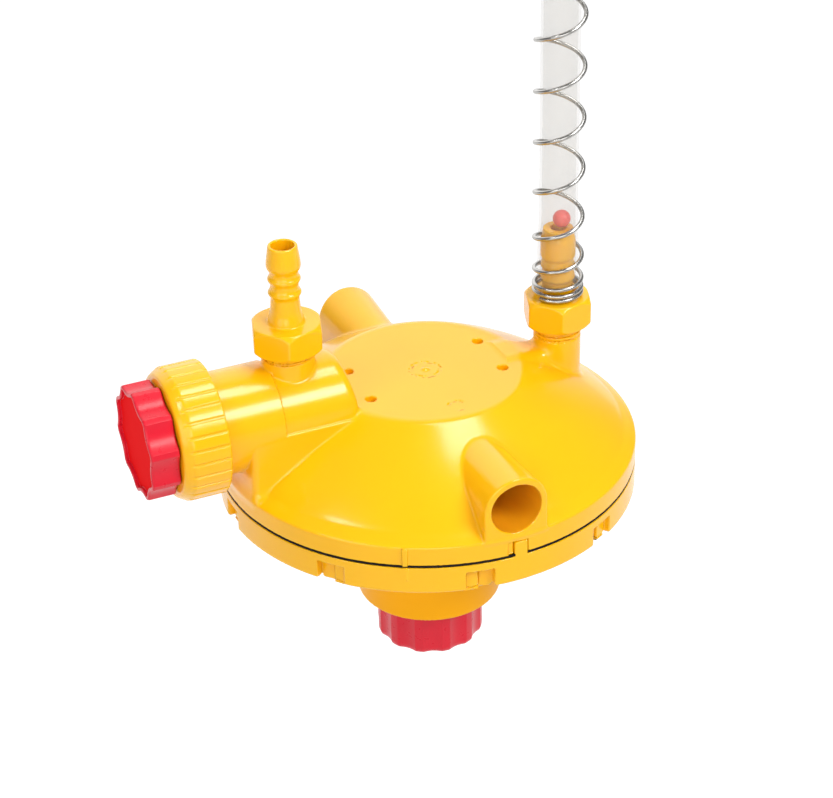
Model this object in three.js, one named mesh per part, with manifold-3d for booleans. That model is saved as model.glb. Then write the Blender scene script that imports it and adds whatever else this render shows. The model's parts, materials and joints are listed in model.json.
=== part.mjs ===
// Water pressure regulator for a poultry drinker line.
// Millimetres, +Z up. The origin is where the outlet line (Y) crosses the dome axis (Z).
// -X is the inlet and flush end, +X is the sight tube, the two outlets look along -Y and +Y.

import * as THREE from 'three';
import { mergeVertices } from 'three/addons/utils/BufferGeometryUtils.js';
import Module from 'manifold-3d';

const wasm = await Module();
wasm.setup();

// ---------------------------------------------------------------- driving dimensions

const GAP = 0.3;
const FINE_GAP = 0.15;
const ROUND = 36;
const SEEN_ROUND = 24;
const SMALL_ROUND = 16;

// Body
const BODY_R = 75;
const SEAM_Z = -18.4;
const SEAM_HALF = 0.35;
const FLAT_R = 33.7;
const FLAT_Z = 14.7;
const BAND_TOP_Z = -10.6;
const BEVEL_R = 72.3;
const BEVEL_Z = -8.8;
const BAND_BOTTOM_Z = -28.4;
const WALL = 3;
const CEILING_Z = 10.7;
const CHAMBER_R = 65;
const SNAP_COUNT = 9;
const SNAP_STEP = 360 / SNAP_COUNT;
const NOTCH_WIDTH = 10;
const NOTCH_TOP_Z = SEAM_Z - 3.5;
const NOTCH_FLOOR_R = 69.8;
const NECK_R = 26.3;
const NECK_BOTTOM_Z = -75.7;
const NECK_INNER_R = 23;
const BULKHEAD_TOP_Z = -52;

// Outlets
const OUTLET_R = 11.7;
const OUTLET_BORE_R = 9.2;
const OUTLET_Y = 75.2;
const OUTLET_INNER_Y = 50;
const OUTLET_BORE_END_Y = 42;

// Inlet and flush end
const INLET_Z = 12.8;
const INLET_R = 18.2;
const INLET_SLIM_R = 17.2;
const INLET_END_X = -31;
const INLET_STEP_X = -59.3;
const INLET_MOUTH_X = -88;
const BORE_R = 12.5;
const BORE_END_X = -34;
const SHOULDER_X = -58.5;
const CARTRIDGE_BORE_R = 14;
const WEB_HALF_Y = 18.1;
const NUT_R = 23.6;
const NUT_INNER_X = -80.7;
const NUT_OUTER_X = -97.4;
const NUT_RIBS = 30;
const FLUSH_KNOB_R = 20;
const FLUSH_KNOB_BACK_X = -97.8;
const FLUSH_KNOB_FRONT_X = -108;
const FLUSH_KNOB_LOBES = 10;
const SPINDLE_R = 5;

// Regulating valve
const VALVE_Z = 6.4;
const LEVER_PIVOT_X = -22;
const LEVER_PIVOT_Z = -1;
const DIAPHRAGM_TRAVEL = 4;
const VALVE_TRAVEL = (DIAPHRAGM_TRAVEL * (VALVE_Z - LEVER_PIVOT_Z)) / -LEVER_PIVOT_X;
const STEM_TIP_X = LEVER_PIVOT_X - 1.35;
const BRACKET_SCREW_X = -16.5;
const BRACKET_SCREW_Y = 3.4;

// Hose tail and sight tube
const TAIL_X = -51.1;
const TUBE_X = 51.9;
const HEX_TURN = THREE.MathUtils.degToRad(-107.5);
const TAIL_HEX_R = 13.4;
const TUBE_HEX_R = 12.9;
const TUBE_R = 6.9;
const TUBE_BORE_R = 5.9;
const TUBE_BULGE_R = 7.05;
const TUBE_TOP_Z = 300;
const COIL_R = 8.45;
const COIL_WIRE_R = 0.8;
const COIL_PITCH = 18.9;
const COIL_BOTTOM_Z = 33.95;
const BALL_R = 3.2;
const BALL_ASIDE = 1.3;

// Diaphragm and adjuster
const DIAPHRAGM_CENTRE_Z = -14;
const ADJUST_KNOB_R = 19.7;
const ADJUST_KNOB_TOP_Z = -72;
const ADJUST_KNOB_BOTTOM_Z = -96;
const ADJUST_KNOB_LOBES = 12;
const SCREW_R = 8.7;
const SEAT_TOP_Z = -44;

// ---------------------------------------------------------------- materials

const yellow = new THREE.MeshStandardMaterial({ color: 0xfbc505, roughness: 0.35, metalness: 0 });
const red = new THREE.MeshStandardMaterial({ color: 0xdc2036, roughness: 0.4, metalness: 0 });
const rubber = new THREE.MeshStandardMaterial({ color: 0x1c1a17, roughness: 0.7, metalness: 0 });
const steel = new THREE.MeshStandardMaterial({ color: 0xc8c8c8, roughness: 0.25, metalness: 1 });
const white = new THREE.MeshStandardMaterial({ color: 0xe9e6dc, roughness: 0.5, metalness: 0 });
const clear = new THREE.MeshStandardMaterial({
  color: 0xe8e4da, roughness: 0.2, metalness: 0, transparent: true, opacity: 0.5,
});

// ---------------------------------------------------------------- solid helpers

function signedVolume(position, triangles) {
  const a = new THREE.Vector3();
  const b = new THREE.Vector3();
  const c = new THREE.Vector3();
  let sum = 0;
  for (let i = 0; i < triangles.length; i += 3) {
    a.fromArray(position, triangles[i] * 3);
    b.fromArray(position, triangles[i + 1] * 3);
    c.fromArray(position, triangles[i + 2] * 3);
    sum += a.dot(b.cross(c)) / 6;
  }
  return sum;
}

// A closed three.js geometry as a manifold solid, with its faces turned outwards.
function solid(geometry) {
  const bare = geometry.clone();
  bare.deleteAttribute('normal');
  bare.deleteAttribute('uv');
  const merged = mergeVertices(bare, 1e-4);
  const position = merged.attributes.position.array;
  const index = merged.index.array;
  const triangles = [];
  for (let i = 0; i < index.length; i += 3) {
    const corner = [index[i], index[i + 1], index[i + 2]];
    if (new Set(corner).size === 3) triangles.push(...corner);
  }
  if (signedVolume(position, triangles) < 0) triangles.reverse();
  return new wasm.Manifold(new wasm.Mesh({
    numProp: 3,
    vertProperties: Float32Array.from(position),
    triVerts: Uint32Array.from(triangles),
  }));
}

const root = new THREE.Group();

function node(name, body, material) {
  const result = body.getMesh();
  const geometry = new THREE.BufferGeometry();
  geometry.setAttribute('position', new THREE.BufferAttribute(Float32Array.from(result.vertProperties), 3));
  geometry.setIndex(new THREE.BufferAttribute(Uint32Array.from(result.triVerts), 1));
  geometry.computeVertexNormals();
  const mesh = new THREE.Mesh(geometry, material.clone());
  mesh.name = name;
  root.add(mesh);
}

function union(first, ...rest) {
  return rest.reduce((sum, next) => sum.add(next), first);
}

function cut(first, ...rest) {
  return rest.reduce((left, tool) => left.subtract(tool), first);
}

// Turns a [radius, height] profile about Z. The profile starts and ends on the axis or closes.
function revolve(profile, segments = ROUND) {
  const points = profile.map(([radius, height]) => new THREE.Vector2(radius, height));
  return solid(new THREE.LatheGeometry(points, segments).rotateX(Math.PI / 2));
}

function closedProfile(profile) {
  return [...profile, profile[0]];
}

// A round bar or tube along Z between two heights.
function barZ(radius, low, high, x = 0, y = 0, segments = SMALL_ROUND) {
  return revolve([[0, low], [radius, low], [radius, high], [0, high]], segments).translate([x, y, 0]);
}

function ringZ(inner, outer, low, high, segments = SMALL_ROUND) {
  return revolve(closedProfile([[inner, low], [outer, low], [outer, high], [inner, high]]), segments);
}

// Turns a profile of [radius, x] about the inlet axis, or any axis along X.
function revolveX(profile, segments = SMALL_ROUND, z = INLET_Z, y = 0) {
  return revolve(profile, segments).rotate([0, 90, 0]).translate([0, y, z]);
}

function barX(radius, low, high, z = INLET_Z, y = 0, segments = SMALL_ROUND) {
  return revolveX([[0, low], [radius, low], [radius, high], [0, high]], segments, z, y);
}

function ringX(inner, outer, low, high, segments = SMALL_ROUND, z = INLET_Z) {
  return revolveX(closedProfile([[inner, low], [outer, low], [outer, high], [inner, high]]), segments, z);
}

function barY(radius, low, high, x = 0, z = 0, segments = SMALL_ROUND) {
  const bar = revolve([[0, low], [radius, low], [radius, high], [0, high]], segments);
  return bar.rotate([-90, 0, 0]).translate([x, 0, z]);
}

function box(xLow, xHigh, yLow, yHigh, zLow, zHigh) {
  const geometry = new THREE.BoxGeometry(xHigh - xLow, yHigh - yLow, zHigh - zLow);
  geometry.translate((xLow + xHigh) / 2, (yLow + yHigh) / 2, (zLow + zHigh) / 2);
  return solid(geometry);
}

// An outline of [a, b] pairs pushed along Z between two heights.
function pushZ(outline, low, high) {
  const shape = new THREE.Shape(outline.map(([a, b]) => new THREE.Vector2(a, b)));
  const geometry = new THREE.ExtrudeGeometry(shape, { depth: high - low, bevelEnabled: false });
  return solid(geometry.translate(0, 0, low));
}

// An outline of [x, z] pairs pushed along Y, centred on y = 0.
function pushY(outline, halfWidth) {
  return pushZ(outline, -halfWidth, halfWidth).rotate([90, 0, 0]);
}

function arc(centreA, centreB, radius, fromDegrees, toDegrees, steps) {
  const points = [];
  for (let i = 0; i <= steps; i += 1) {
    const angle = THREE.MathUtils.degToRad(fromDegrees + ((toDegrees - fromDegrees) * i) / steps);
    points.push([centreA + radius * Math.cos(angle), centreB + radius * Math.sin(angle)]);
  }
  return points;
}

function oRingZ(radius, thickness, height) {
  return solid(new THREE.TorusGeometry(radius, thickness / 2, 6, SMALL_ROUND)).translate([0, 0, height]);
}

function oRingX(radius, thickness, x, z = INLET_Z) {
  return oRingZ(radius, thickness, 0).rotate([0, 90, 0]).translate([x, 0, z]);
}

// A hexagon with its six corners chamfered at the top and bottom.
function hexagon(cornerR, low, high, x) {
  const corners = arc(0, 0, cornerR, 0, 300, 5);
  const prism = pushZ(corners, low, high).rotate([0, 0, THREE.MathUtils.radToDeg(HEX_TURN)]);
  const drop = 1.1;
  const flat = cornerR * 0.87;
  const turned = revolve([
    [0, low], [flat, low], [cornerR, low + drop], [cornerR, high - drop], [flat, high], [0, high],
  ], 24);
  return prism.intersect(turned).translate([x, 0, 0]);
}

// A grip outline with shallow hollows between its lobes.
function lobedOutline(tipR, depth, lobes, turnDegrees, stepsPerLobe) {
  const points = [];
  for (let i = 0; i < lobes * stepsPerLobe; i += 1) {
    const share = i / stepsPerLobe;
    const dip = depth * Math.abs(Math.sin(Math.PI * share)) ** 0.8;
    const angle = THREE.MathUtils.degToRad(turnDegrees) + (share * 2 * Math.PI) / lobes;
    points.push([(tipR - dip) * Math.cos(angle), (tipR - dip) * Math.sin(angle)]);
  }
  return points;
}

class Helix extends THREE.Curve {
  constructor(radius, height, turns) {
    super();
    this.radius = radius;
    this.height = height;
    this.turns = turns;
  }

  getPoint(t, target = new THREE.Vector3()) {
    const angle = this.turns * t * 2 * Math.PI;
    return target.set(this.radius * Math.cos(angle), this.radius * Math.sin(angle), this.height(t * this.turns));
  }
}

function coil(radius, wireR, height, turns, stepsPerTurn, sides) {
  const section = new THREE.Shape(arc(0, 0, wireR, 0, 360 - 360 / sides, sides - 1)
    .map(([a, b]) => new THREE.Vector2(a, b)));
  const geometry = new THREE.ExtrudeGeometry(section, {
    steps: Math.round(turns * stepsPerTurn),
    bevelEnabled: false,
    extrudePath: new Helix(radius, height, turns),
  });
  return solid(geometry);
}

// ---------------------------------------------------------------- upper cover

// The dome's outer slope, from the edge of the flat top down to the bevel above the rim band.
function domeSlope(steps) {
  const curve = new THREE.CubicBezierCurve(
    new THREE.Vector2(FLAT_R + 1.4, FLAT_Z - 0.35),
    new THREE.Vector2(49, 6.8),
    new THREE.Vector2(62, -0.6),
    new THREE.Vector2(BEVEL_R, BEVEL_Z),
  );
  return curve.getPoints(steps).map((point) => [point.x, point.y]);
}

function outlet(sign) {
  const tip = 0.6;
  const profile = [
    [0, 30], [OUTLET_R, 30], [OUTLET_R, OUTLET_Y - tip], [OUTLET_R - tip, OUTLET_Y], [0, OUTLET_Y],
  ];
  return revolve(profile, SEEN_ROUND).rotate([-90 * sign, 0, 0]);
}

function outletWall(sign) {
  const profile = [[0, OUTLET_INNER_Y], [OUTLET_R, OUTLET_INNER_Y], [OUTLET_R, BODY_R], [0, BODY_R]];
  return revolve(profile, SEEN_ROUND).rotate([-90 * sign, 0, 0]);
}

function snapHook(index) {
  const side = index % 2 === 0 ? -1 : 1;
  const centre = side * 2.4;
  return box(70.4, 72.6, centre - 2.2, centre + 2.2, SEAM_Z - 8.2, SEAM_Z + 2)
    .rotate([0, 0, 180 + index * SNAP_STEP]);
}

function snapSlot(index) {
  const side = index % 2 === 0 ? -1 : 1;
  const centre = side * 2.4;
  return box(70.1, 72.9, centre - 2.5, centre + 2.5, SEAM_Z - 8.5, SEAM_Z + 3)
    .rotate([0, 0, 180 + index * SNAP_STEP]);
}

function repeat(count, make) {
  return Array.from({ length: count }, (_, index) => make(index));
}

function upperCoverOuter() {
  const dome = revolve([
    [0, FLAT_Z], [FLAT_R, FLAT_Z], ...domeSlope(5), [BODY_R, BAND_TOP_Z],
    [BODY_R, SEAM_Z + SEAM_HALF], [0, SEAM_Z + SEAM_HALF],
  ]);
  const web = box(-BODY_R, INLET_END_X - 2, -WEB_HALF_Y, WEB_HALF_Y, BAND_TOP_Z - 2, INLET_Z)
    .intersect(barZ(BODY_R - 0.4, BAND_TOP_Z - 2, INLET_Z, 0, 0, ROUND));
  const inlet = revolveX([
    [0, INLET_MOUTH_X], [INLET_R, INLET_MOUTH_X], [INLET_R, INLET_STEP_X], [INLET_SLIM_R, INLET_STEP_X],
    [INLET_SLIM_R, INLET_END_X - 5.5], [INLET_SLIM_R - 1.4, INLET_END_X - 2.6],
    [INLET_SLIM_R - 4, INLET_END_X - 0.8], [INLET_SLIM_R - 7, INLET_END_X], [0, INLET_END_X],
  ], SEEN_ROUND);
  const tailNeck = revolve([
    [0, 20], [9.3, 20], [9.3, 33.6], [8.8, 34], [8.8, 34.6], [9.2, 35], [9.2, 35.4], [8.8, 35.8],
    [8.8, 41], [0, 41],
  ], SEEN_ROUND).translate([TAIL_X, 0, 0]);
  const tubeNeck = revolve([
    [0, -2], [8.5, -2], [8.5, 16.6], [8.1, 17], [8.1, 17.6], [8.6, 18], [8.6, 19.2], [7.3, 19.8],
    [7.3, 27], [0, 27],
  ], SEEN_ROUND).translate([TUBE_X, 0, 0]);
  const gusset = pushY([
    [30, 0], [TUBE_X - 3, 0], [TUBE_X - 3, 14.1], [TUBE_X - 17.5, FLAT_Z - 0.1], [30, FLAT_Z - 0.1],
  ], 6);
  const indexRib = box(BODY_R - 1, BODY_R + 0.5, -0.85, 0.85, SEAM_Z + SEAM_HALF, BAND_TOP_Z + 0.4)
    .rotate([0, 0, -119.6]);
  return union(dome, web, inlet, tailNeck, tubeNeck, gusset, outlet(-1), outlet(1), indexRib);
}

// The regulated chamber under the dome, less the walls that carry the inlet and the outlets.
function chamber() {
  const slope = domeSlope(5).map(([radius, height]) => [radius - 0.5 * WALL, height - 0.87 * WALL]);
  const inner = slope.filter(([radius]) => radius < CHAMBER_R && radius > 36);
  const hollow = revolve([
    [0, CEILING_Z], [FLAT_R, CEILING_Z], ...inner, [CHAMBER_R, -8.6], [CHAMBER_R, SEAM_Z - 1],
    [0, SEAM_Z - 1],
  ]);
  const inletWall = barX(BORE_R + WALL, -BODY_R, INLET_END_X);
  return cut(hollow, inletWall, outletWall(-1), outletWall(1));
}

function upperCover() {
  const bores = union(
    barX(BORE_R, SHOULDER_X - 1, BORE_END_X, INLET_Z, 0, SEEN_ROUND),
    barX(CARTRIDGE_BORE_R, INLET_MOUTH_X - 1, SHOULDER_X, INLET_Z, 0, SEEN_ROUND),
    barX(4, BORE_END_X - 1, INLET_END_X + 2, VALVE_Z),
    barZ(4, INLET_Z, 45, TAIL_X),
    barZ(3, -6, 30, TUBE_X),
    barZ(3, -10, INLET_Z, -66),
    barY(OUTLET_BORE_R, -BODY_R - 5, -OUTLET_BORE_END_Y, 0, 0, SEEN_ROUND),
    barY(OUTLET_BORE_R, OUTLET_BORE_END_Y, BODY_R + 5, 0, 0, SEEN_ROUND),
  );
  const blindHoles = [[-1, -1], [1, -1], [1, 1], [-1, 1]].map(([i, j]) => (
    barZ(2, FLAT_Z - 2.4, FLAT_Z + 1, i * 25.3, j * 10.5, 16)
  ));
  const screwHoles = [-1, 1].map((side) => barZ(1.9, 8, 13.2, BRACKET_SCREW_X, side * BRACKET_SCREW_Y, 12));
  const beadGroove = ringZ(67, 70, SEAM_Z - 1, SEAM_Z + 1.5, ROUND);
  const tonguePocket = box(70, BODY_R + 2, -3.95, 3.6, SEAM_Z - 1, SEAM_Z + 5.6).rotate([0, 0, -89.5]);
  const body = cut(upperCoverOuter(), chamber(), bores, beadGroove, tonguePocket, ...blindHoles, ...screwHoles);
  return union(body, ...repeat(SNAP_COUNT, snapHook));
}

node('upper_cover', upperCover(), yellow);

// ---------------------------------------------------------------- lower cover

function snapNotch(index) {
  return box(NOTCH_FLOOR_R, BODY_R + 2, -NOTCH_WIDTH / 2, NOTCH_WIDTH / 2, BAND_BOTTOM_Z - 1, NOTCH_TOP_Z)
    .rotate([0, 0, 180 + index * SNAP_STEP]);
}

function stiffener(index) {
  const outline = [[25, -32], [68, -24], [68, BAND_BOTTOM_Z + 0.6], [25, -46]];
  return pushY(outline, 1.1).rotate([0, 0, 20 + index * SNAP_STEP]);
}

function lowerCover() {
  const outer = revolve([
    [0, SEAM_Z - SEAM_HALF], [BODY_R, SEAM_Z - SEAM_HALF], [BODY_R, BAND_BOTTOM_Z + 0.8],
    [BODY_R - 0.8, BAND_BOTTOM_Z], [67, BAND_BOTTOM_Z], [66, BAND_BOTTOM_Z + 1], [32, -37],
    [28, -39.5], [NECK_R, -44], [NECK_R, NECK_BOTTOM_Z + 1], [NECK_R - 1, NECK_BOTTOM_Z], [0, NECK_BOTTOM_Z],
  ]);
  const hollow = revolve([
    [0, SEAM_Z + 1], [CHAMBER_R, SEAM_Z + 1], [CHAMBER_R, -24.4], [29, -33.2], [24, -35.5], [NECK_INNER_R, -40],
    [NECK_INNER_R, BULKHEAD_TOP_Z], [0, BULKHEAD_TOP_Z],
  ]);
  const skirt = revolve([
    [0, NECK_BOTTOM_Z - 1], [NECK_INNER_R, NECK_BOTTOM_Z - 1], [NECK_INNER_R, BULKHEAD_TOP_Z - 4],
    [12.5, BULKHEAD_TOP_Z - 4], [12.5, -62], [0, -62],
  ]);
  const thread = barZ(SCREW_R + 0.1 + GAP, -64, BULKHEAD_TOP_Z + 1);
  const beadGroove = ringZ(67, 70, SEAM_Z - 1.5, SEAM_Z + 1, ROUND);
  const vent = barZ(1.5, BULKHEAD_TOP_Z - 6, BULKHEAD_TOP_Z + 2, 0, 18, 12);
  const tongue = box(70.3, BODY_R, -1.45, 3.3, SEAM_Z - 3, SEAM_Z + 5.2)
    .intersect(barZ(BODY_R, SEAM_Z - 3, SEAM_Z + 5.2, 0, 0, ROUND)).rotate([0, 0, -89.5]);
  const indexRib = box(BODY_R - 1, BODY_R + 0.25, -0.85, 0.85, SEAM_Z - 5.5, SEAM_Z - SEAM_HALF)
    .rotate([0, 0, -119.6]);
  const body = cut(
    union(outer, ...repeat(SNAP_COUNT, stiffener)),
    hollow, skirt, thread, beadGroove, vent,
    ...repeat(SNAP_COUNT, snapNotch), ...repeat(SNAP_COUNT, snapSlot),
  );
  return union(body, tongue, indexRib);
}

node('lower_cover', lowerCover(), yellow);

// ---------------------------------------------------------------- diaphragm and its plates

function diaphragm() {
  const half = 0.2;
  const crown = DIAPHRAGM_CENTRE_Z;
  const sheet = revolve([
    [0, crown + 1], [44, crown + 1], [50, -17.6], [56, -19.2], [64, SEAM_Z + half],
    [67.3, SEAM_Z + half], [67.3, SEAM_Z + 1.2], [69.7, SEAM_Z + 1.2], [69.7, SEAM_Z + half],
    [BODY_R - 0.4, SEAM_Z + half], [BODY_R - 0.4, SEAM_Z - half], [69.7, SEAM_Z - half],
    [69.7, SEAM_Z - 1.2], [67.3, SEAM_Z - 1.2], [67.3, SEAM_Z - half], [64, SEAM_Z - half], [56, -21],
    [49, -19.6], [43, crown - 1], [0, crown - 1],
  ]);
  const stemHole = barZ(3.4, crown - 3, crown + 3);
  const tongueSlot = box(70, BODY_R + 1, -1.8, 3.6, SEAM_Z - 2, SEAM_Z + 2).rotate([0, 0, -89.5]);
  return cut(sheet, stemHole, tongueSlot, ...repeat(SNAP_COUNT, snapSlot));
}

function upperPlate() {
  const low = DIAPHRAGM_CENTRE_Z + 1.3;
  return revolve(closedProfile([
    [3.4, low], [40, low], [41, low + 2.6], [39.6, low + 2.6], [39, low + 1.6], [8, low + 1.6],
    [6.5, low + 3.2], [3.4, low + 3.2],
  ]), 28);
}

function lowerPlate() {
  const high = DIAPHRAGM_CENTRE_Z - 1.3;
  return revolve(closedProfile([
    [3.4, high], [40, high], [40, high - 1.6], [17, high - 1.6], [16.6, high - 4], [15.2, high - 4],
    [15, high - 2.6], [3.4, high - 2.6],
  ]), 28);
}

// The stem clamps the plates and carries a window that the lever's tip sits in.
function diaphragmStem() {
  const head = DIAPHRAGM_CENTRE_Z - 1.3 - 2.6 - GAP;
  const shoulder = DIAPHRAGM_CENTRE_Z + 1.3 + 3.2 + GAP;
  const rod = revolve([
    [0, head - 2.4], [5.5, head - 2.4], [5.5, head], [3, head], [3, shoulder], [4.6, shoulder], [4.6, 2.6],
    [3.8, 3.4], [0, 3.4],
  ], 24);
  return rod.subtract(box(-6, 6, -2.4, 2.4, LEVER_PIVOT_Z - 2.1, LEVER_PIVOT_Z + 2.1));
}

node('diaphragm', diaphragm(), rubber);
node('diaphragm_upper_plate', upperPlate(), white);
node('diaphragm_lower_plate', lowerPlate(), steel);
node('diaphragm_stem', diaphragmStem(), white);

// ---------------------------------------------------------------- lever, its bracket and the valve

function leverBracket() {
  const top = CEILING_Z - GAP;
  const base = box(-29.5, -13.5, -9, 9, top - 2.4, top);
  const ears = [-1, 1].map((side) => {
    const inner = side * 6.4;
    const outer = side * 8.4;
    return box(-25.5, -18.5, Math.min(inner, outer), Math.max(inner, outer), -5, top - 1);
  });
  const pinHole = barY(1.8, -12, 12, LEVER_PIVOT_X, LEVER_PIVOT_Z, 16);
  const screwHoles = [-1, 1].map((side) => barZ(1.9, 4, 14, BRACKET_SCREW_X, side * BRACKET_SCREW_Y, 12));
  return cut(union(base, ...ears), pinHole, ...screwHoles);
}

function bracketScrew(side) {
  const under = CEILING_Z - GAP - 2.4 - GAP;
  const profile = [[0, under - 1.5], [2.4, under - 1.5], [2.4, under], [1.5, under], [1.5, 12.8], [0, 12.8]];
  return revolve(profile, 12).translate([BRACKET_SCREW_X, side * BRACKET_SCREW_Y, 0]);
}

function valveLever() {
  const hub = barY(3.4, -5.8, 5.8, LEVER_PIVOT_X, LEVER_PIVOT_Z, 24);
  const longArm = box(LEVER_PIVOT_X, -5.2, -2, 2, LEVER_PIVOT_Z - 1.2, LEVER_PIVOT_Z + 1.2);
  const tip = box(-6, 3.4, -1.9, 1.9, LEVER_PIVOT_Z - 0.7, LEVER_PIVOT_Z + 0.7);
  const shortArm = box(LEVER_PIVOT_X - 1, LEVER_PIVOT_X + 1, -2, 2, LEVER_PIVOT_Z, VALVE_Z + 1.2);
  const pinBore = barY(1.55, -8, 8, LEVER_PIVOT_X, LEVER_PIVOT_Z, 24);
  return union(hub, longArm, tip, shortArm).subtract(pinBore);
}

const SEAT_FACE_X = BORE_END_X - GAP - 1.5;
const SEAL_X = SEAT_FACE_X - VALVE_TRAVEL - 0.1;

function valveSeat() {
  return revolveX(closedProfile([
    [2.6, SEAT_FACE_X], [3.2, SEAT_FACE_X], [3.6, SEAT_FACE_X + 0.6], [5.2, SEAT_FACE_X + 0.6],
    [5.2, BORE_END_X - GAP], [3.7, BORE_END_X - GAP], [3.7, INLET_END_X + 1.2], [2.6, INLET_END_X + 1.2],
  ]), SMALL_ROUND, VALVE_Z);
}

function poppet() {
  return revolveX([
    [0, SEAL_X - 4.2], [2, SEAL_X - 4.2], [2, SEAL_X - 2.6], [5, SEAL_X - 2.6], [5, SEAL_X - 1.4],
    [1.2, SEAL_X - 1.4], [1.2, STEM_TIP_X - 0.6], [0.7, STEM_TIP_X], [0, STEM_TIP_X],
  ], SMALL_ROUND, VALVE_Z);
}

const STRAINER_X = -46.6;

function valveStrainer() {
  const plate = revolveX([
    [0, STRAINER_X - 1.6], [BORE_R - GAP, STRAINER_X - 1.6], [BORE_R - GAP, STRAINER_X], [0, STRAINER_X],
  ], SEEN_ROUND);
  const holes = repeat(8, (index) => {
    const angle = (index / 8) * 2 * Math.PI;
    const y = 8 * Math.cos(angle);
    const z = INLET_Z + 8 * Math.sin(angle);
    return barX(1.9, STRAINER_X - 3, STRAINER_X + 1, z, y, 8);
  });
  return cut(plate, ...holes);
}

function poppetSpring() {
  const start = STRAINER_X + GAP + 0.35;
  const length = SEAL_X - 2.6 - GAP - 0.35 - start;
  const turns = 4;
  return coil(3.4, 0.35, (turn) => (length * turn) / turns, turns, 8, 4)
    .rotate([0, 90, 0]).translate([start, 0, VALVE_Z]);
}

node('lever_bracket', leverBracket(), steel);
node('lever_pin', barY(1.5, -9.2, 9.2, LEVER_PIVOT_X, LEVER_PIVOT_Z, 24), steel);
node('bracket_screw_front', bracketScrew(-1), steel);
node('bracket_screw_rear', bracketScrew(1), steel);
node('valve_lever', valveLever(), white);
node('valve_seat', valveSeat(), white);
node('poppet', poppet(), white);
node('poppet_seal', ringX(1.5, 4.6, SEAL_X - 1.1, SEAL_X, SMALL_ROUND, VALVE_Z), rubber);
node('poppet_spring', poppetSpring(), steel);
node('valve_strainer', valveStrainer(), white);

// ---------------------------------------------------------------- flush valve, union nut and flush knob

const SEAT_RING_X = SHOULDER_X - GAP;
const PLUG_FACE_X = SEAT_RING_X - 2.6 - GAP;
const BONNET_INNER_X = -76;
const BONNET_FLANGE_X = INLET_MOUTH_X - GAP;

function flushBonnet() {
  const groove = 11.9;
  const body = CARTRIDGE_BORE_R - GAP;
  return revolveX(closedProfile([
    [SPINDLE_R + GAP, BONNET_INNER_X], [body, BONNET_INNER_X], [body, -78.6], [groove, -78.6], [groove, -81.2],
    [body, -81.2], [body, BONNET_FLANGE_X], [17.8, BONNET_FLANGE_X], [17.8, BONNET_FLANGE_X - 3.2],
    [10, BONNET_FLANGE_X - 3.2], [10, BONNET_FLANGE_X - 5], [SPINDLE_R + GAP, BONNET_FLANGE_X - 5],
  ]), 28);
}

function unionNut() {
  const ribs = [];
  for (let i = 0; i < NUT_RIBS; i += 1) {
    const step = (2 * Math.PI) / NUT_RIBS;
    const base = (i + 0.54) * step;
    [[0, NUT_R], [0.6, NUT_R], [0.8, NUT_R - 0.7]].forEach(([share, radius]) => {
      ribs.push([radius * Math.cos(base + share * step), radius * Math.sin(base + share * step)]);
    });
  }
  const outline = pushZ(ribs, NUT_OUTER_X, NUT_INNER_X).rotate([0, 90, 0]).translate([0, 0, INLET_Z]);
  const turned = revolveX([
    [0, NUT_OUTER_X], [NUT_R - 2, NUT_OUTER_X], [NUT_R, NUT_OUTER_X + 2.4], [NUT_R, NUT_INNER_X - 0.8],
    [NUT_R - 0.8, NUT_INNER_X], [0, NUT_INNER_X],
  ], NUT_RIBS);
  const lip = BONNET_FLANGE_X - 3.2 - GAP;
  const inside = revolveX([
    [0, NUT_OUTER_X - 1], [15.5, NUT_OUTER_X - 1], [15.5, lip], [INLET_R + GAP, lip],
    [INLET_R + GAP, NUT_INNER_X + 1], [0, NUT_INNER_X + 1],
  ], 28);
  return outline.intersect(turned).subtract(inside);
}

function flushKnob() {
  const outline = lobedOutline(FLUSH_KNOB_R, 1.5, FLUSH_KNOB_LOBES, 0, 5);
  const recess = lobedOutline(FLUSH_KNOB_R - 1.3, 1.3, FLUSH_KNOB_LOBES, 0, 5);
  const turn = 12.6 - 90;
  const grip = pushZ(outline, FLUSH_KNOB_FRONT_X, FLUSH_KNOB_BACK_X);
  const face = pushZ(recess, FLUSH_KNOB_FRONT_X - 1, FLUSH_KNOB_FRONT_X + 1.4);
  const socket = barZ(3.3, FLUSH_KNOB_BACK_X - 7, FLUSH_KNOB_BACK_X + 1, 0, 0, 24);
  return cut(grip, face, socket).rotate([0, 0, turn]).rotate([0, 90, 0]).translate([0, 0, INLET_Z]);
}

function flushSpindle() {
  const end = PLUG_FACE_X - 4.4 - GAP;
  return cut(revolveX([
    [0, FLUSH_KNOB_BACK_X - 6.6], [3, FLUSH_KNOB_BACK_X - 6.6], [3, FLUSH_KNOB_BACK_X + GAP],
    [SPINDLE_R, FLUSH_KNOB_BACK_X + GAP + 0.1], [SPINDLE_R, -86.2], [4.1, -86.2], [4.1, -84.2], [SPINDLE_R, -84.2],
    [SPINDLE_R, end], [0, end],
  ], SMALL_ROUND), barX(2.4, -74, end + 1, INLET_Z, 0, 16));
}

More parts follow.
